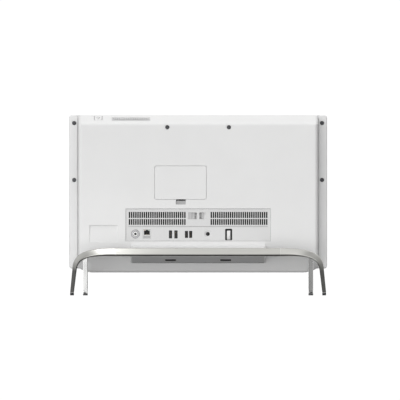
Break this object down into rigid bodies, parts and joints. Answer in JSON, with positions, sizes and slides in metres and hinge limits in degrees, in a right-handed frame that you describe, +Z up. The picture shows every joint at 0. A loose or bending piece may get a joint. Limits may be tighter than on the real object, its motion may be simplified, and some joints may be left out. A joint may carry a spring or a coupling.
{
  "type": "all in one pc",
  "caption": "All-in-one PC seen as a flat white display with its computer behind the screen, tilting on a satin metal bow stand with splayed legs.",
  "frame": {"origin": "on the table, under the middle of the stand's footprint", "axes": "+Z up, -Y out of the screen towards the user, +Y out of the back with the ports, +X towards the user's right"},
  "size_m": [0.533, 0.202, 0.3725],
  "materials": {
    "white_plastic": "satin white moulded plastic",
    "front_frame_plastic": "satin white moulded plastic",
    "light_gray_plastic": "matt light gray plastic",
    "black_plastic": "matt black plastic",
    "black_glass": "glossy cover glass with a black border",
    "screen": "dark screen, switched off",
    "satin_metal": "satin warm-silver metal",
    "leg_metal": "bright satin metal",
    "steel": "plain steel",
    "screw_steel": "dark screw steel",
    "connector_steel": "stamped connector shell",
    "copper": "bare copper, for which brass stands in",
    "circuit_board": "green solder mask",
    "rubber": "dark gray rubber"
  },
  "bodies": {
    "stand": {"bow_center_bar": "satin_metal", "bow_end_right": "satin_metal", "bow_end_left": "satin_metal", "front_leg_right": "leg_metal", "front_leg_left": "leg_metal", "foot_front_right": "rubber", "foot_front_left": "rubber", "foot_rear_right": "rubber", "foot_rear_left": "rubber", "hinge_arm_right": "steel", "hinge_arm_left": "steel", "hinge_pin_right": "steel", "hinge_pin_left": "steel"},
    "display": {"rear_cover": "white_plastic", "io_panel": "white_plastic", "bracket_cover": "white_plastic", "front_frame": "front_frame_plastic", "front_glass": "black_glass", "lcd_panel": "screen", "camera_module": "black_plastic", "chassis_plate": "steel", "hinge_bracket_right": "steel", "hinge_bracket_left": "steel", "speaker_right": "black_plastic", "speaker_left": "black_plastic", "mainboard": "circuit_board", "cpu_cold_plate": "copper", "heat_pipe": "copper", "fin_stack": "steel", "fan_housing": "black_plastic", "memory_module_lower": "circuit_board", "memory_module_upper": "circuit_board", "hard_drive": "steel", "wireless_card": "circuit_board", "clock_battery": "steel", "disc_drive_case": "steel", "antenna_jack": "connector_steel", "lan_jack": "light_gray_plastic", "usb_port_1": "connector_steel", "usb_port_2": "connector_steel", "usb_port_3": "connector_steel", "usb_port_4": "connector_steel", "power_inlet": "black_plastic", "cable_hook": "white_plastic", "switch_board": "circuit_board", "top_grille": "light_gray_plastic", "case_screw_1": "screw_steel", "case_screw_2": "screw_steel", "case_screw_3": "screw_steel", "case_screw_4": "screw_steel", "case_screw_5": "screw_steel", "case_screw_6": "screw_steel"},
    "memory_hatch": {"memory_hatch": "white_plastic"},
    "fan_rotor": {"fan_impeller": "black_plastic"},
    "disc_tray": {"disc_tray": "light_gray_plastic"},
    "disc_hub": {"disc_hub": "light_gray_plastic"},
    "eject_button": {"eject_button": "light_gray_plastic"},
    "power_button": {"power_button": "white_plastic"}
  },
  "joints": [
    {"name": "screen_tilt", "type": "hinge", "parent": "stand", "child": "display", "pos_m": [0, 0.03, 0.0895], "axis": [-1, 0, 0], "range_deg": [-5, 20]},
    {"name": "hatch_lift", "type": "slide", "parent": "display", "child": "memory_hatch", "axis": [0, 1, 0], "range_m": [0, 0.03]},
    {"name": "fan_spin", "type": "hinge", "parent": "display", "child": "fan_rotor", "pos_m": [0.132, -0.018, 0.312], "axis": [0, 1, 0], "continuous": true},
    {"name": "tray_slide", "type": "slide", "parent": "display", "child": "disc_tray", "axis": [1, 0, 0], "range_m": [0, 0.115]},
    {"name": "disc_spin", "type": "hinge", "parent": "disc_tray", "child": "disc_hub", "pos_m": [0.184, -0.013, 0.214], "axis": [0, 1, 0], "continuous": true},
    {"name": "eject_press", "type": "slide", "parent": "disc_tray", "child": "eject_button", "axis": [-1, 0, 0], "range_m": [0, 0.0003], "stiffness_N_per_m": 600},
    {"name": "power_press", "type": "slide", "parent": "display", "child": "power_button", "axis": [0, -0.4471, -0.8945], "range_m": [0, 0.001], "stiffness_N_per_m": 600}
  ]
}
